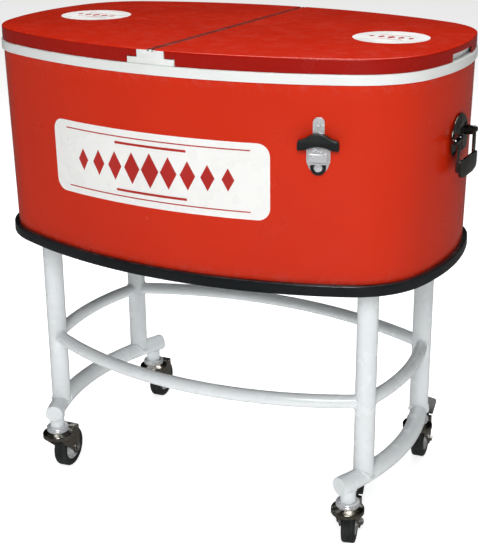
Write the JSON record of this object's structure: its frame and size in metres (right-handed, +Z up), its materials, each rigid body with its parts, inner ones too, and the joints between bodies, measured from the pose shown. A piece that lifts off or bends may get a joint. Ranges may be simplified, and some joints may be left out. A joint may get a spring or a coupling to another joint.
{
  "type": "cooler on wheels",
  "caption": "Insulated oval party cooler with two hinged lids, end drop handles and a bottle opener, standing on a white tube frame with swivel casters.",
  "frame": {"origin": "on the ground under the middle of the tub", "axes": "+Z up, front towards -Y, right-hand end towards +X"},
  "size_m": [0.8516, 0.5484, 0.852],
  "materials": {
    "red_paint": "gloss",
    "frame_paint": "gloss",
    "base_paint": "satin",
    "trim_plastic": "satin",
    "liner_plastic": "satin",
    "rim_plastic": "gloss",
    "black_plastic": "satin",
    "foam": "matte",
    "bright_chrome": "polished",
    "smoked_chrome": "polished",
    "zinc_steel": "satin",
    "tyre": "matte"
  },
  "bodies": {
    "tub_and_frame": {"back_rail": "frame_paint", "base_plate": "base_paint", "base_rim": "rim_plastic", "centre_bar": "trim_plastic", "drain_fitting": "liner_plastic", "front_left_leg": "frame_paint", "front_left_socket": "frame_paint", "front_rail": "frame_paint", "front_right_leg": "frame_paint", "front_right_socket": "frame_paint", "inner_liner": "liner_plastic", "insulation_foam": "foam", "left_bottom_tube": "frame_paint", "left_handle_plate": "smoked_chrome", "left_lid_pin": "zinc_steel", "left_rail": "frame_paint", "opener_bar": "black_plastic", "opener_lower_screw": "bright_chrome", "opener_plate": "bright_chrome", "opener_upper_screw": "bright_chrome", "outer_shell": "red_paint", "rear_left_leg": "frame_paint", "rear_left_socket": "frame_paint", "rear_right_leg": "frame_paint", "rear_right_socket": "frame_paint", "right_bottom_tube": "frame_paint", "right_handle_plate": "smoked_chrome", "right_lid_pin": "zinc_steel", "right_rail": "frame_paint", "top_collar": "trim_plastic"},
    "left_lid": {"left_lid_skin": "red_paint", "left_lid_panel": "liner_plastic", "left_lid_barrel": "red_paint"},
    "right_lid": {"right_lid_skin": "red_paint", "right_lid_panel": "liner_plastic", "right_lid_barrel": "red_paint"},
    "left_drop_handle": {"left_bail": "smoked_chrome"},
    "right_drop_handle": {"right_bail": "smoked_chrome"},
    "plug": {"drain_plug": "black_plastic"},
    "front_left_swivel": {"front_left_fork": "smoked_chrome", "front_left_axle": "zinc_steel"},
    "front_left_wheel": {"front_left_tyre": "tyre", "front_left_hub": "bright_chrome"},
    "front_right_swivel": {"front_right_fork": "smoked_chrome", "front_right_axle": "zinc_steel"},
    "front_right_wheel": {"front_right_tyre": "tyre", "front_right_hub": "bright_chrome"},
    "front_right_brake": {"front_right_brake_pedal": "black_plastic"},
    "rear_left_swivel": {"rear_left_fork": "smoked_chrome", "rear_left_axle": "zinc_steel"},
    "rear_left_wheel": {"rear_left_tyre": "tyre", "rear_left_hub": "bright_chrome"},
    "rear_right_swivel": {"rear_right_fork": "smoked_chrome", "rear_right_axle": "zinc_steel"},
    "rear_right_wheel": {"rear_right_tyre": "tyre", "rear_right_hub": "bright_chrome"},
    "rear_right_brake": {"rear_right_brake_pedal": "black_plastic"}
  },
  "joints": [
    {"name": "left_lid_hinge", "type": "hinge", "parent": "tub_and_frame", "child": "left_lid", "pos_m": [-0.0038, 0, 0.849], "axis": [0, 1, 0], "range_deg": [0, 88]},
    {"name": "right_lid_hinge", "type": "hinge", "parent": "tub_and_frame", "child": "right_lid", "pos_m": [0.0038, 0, 0.849], "axis": [0, -1, 0], "range_deg": [0, 88]},
    {"name": "left_handle_hinge", "type": "hinge", "parent": "tub_and_frame", "child": "left_drop_handle", "pos_m": [-0.41881, 0, 0.707], "axis": [0, 1, 0], "range_deg": [0, 100]},
    {"name": "right_handle_hinge", "type": "hinge", "parent": "tub_and_frame", "child": "right_drop_handle", "pos_m": [0.41881, 0, 0.707], "axis": [0, -1, 0], "range_deg": [0, 100]},
    {"name": "plug_slide", "type": "slide", "parent": "tub_and_frame", "child": "plug", "axis": [0, 0, -1], "range_m": [0, 0.05]},
    {"name": "front_left_swivel_joint", "type": "hinge", "parent": "tub_and_frame", "child": "front_left_swivel", "pos_m": [-0.30001, -0.171, 0], "axis": [0, 0, 1], "continuous": true},
    {"name": "front_left_axle_joint", "type": "hinge", "parent": "front_left_swivel", "child": "front_left_wheel", "pos_m": [-0.3044, -0.13527, 0.038], "axis": [-0.9925, -0.1219, 0], "continuous": true},
    {"name": "front_right_swivel_joint", "type": "hinge", "parent": "tub_and_frame", "child": "front_right_swivel", "pos_m": [0.30001, -0.171, 0], "axis": [0, 0, 1], "continuous": true},
    {"name": "front_right_axle_joint", "type": "hinge", "parent": "front_right_swivel", "child": "front_right_wheel", "pos_m": [0.2907, -0.13623, 0.038], "axis": [-0.9659, -0.2588, 0], "continuous": true},
    {"name": "front_right_brake_joint", "type": "hinge", "parent": "front_right_swivel", "child": "front_right_brake", "pos_m": [0.28811, -0.12657, 0.086], "axis": [-0.9659, -0.2588, 0], "range_deg": [0, 12]},
    {"name": "rear_left_swivel_joint", "type": "hinge", "parent": "tub_and_frame", "child": "rear_left_swivel", "pos_m": [-0.30001, 0.171, 0], "axis": [0, 0, 1], "continuous": true},
    {"name": "rear_left_axle_joint", "type": "hinge", "parent": "rear_left_swivel", "child": "rear_left_wheel", "pos_m": [-0.3044, 0.20673, 0.038], "axis": [-0.9925, -0.1219, 0], "continuous": true},
    {"name": "rear_right_swivel_joint", "type": "hinge", "parent": "tub_and_frame", "child": "rear_right_swivel", "pos_m": [0.30001, 0.171, 0], "axis": [0, 0, 1], "continuous": true},
    {"name": "rear_right_axle_joint", "type": "hinge", "parent": "rear_right_swivel", "child": "rear_right_wheel", "pos_m": [0.29563, 0.20673, 0.038], "axis": [-0.9925, -0.1219, 0], "continuous": true},
    {"name": "rear_right_brake_joint", "type": "hinge", "parent": "rear_right_swivel", "child": "rear_right_brake", "pos_m": [0.29441, 0.21666, 0.086], "axis": [-0.9925, -0.1219, 0], "range_deg": [0, 12]}
  ]
}
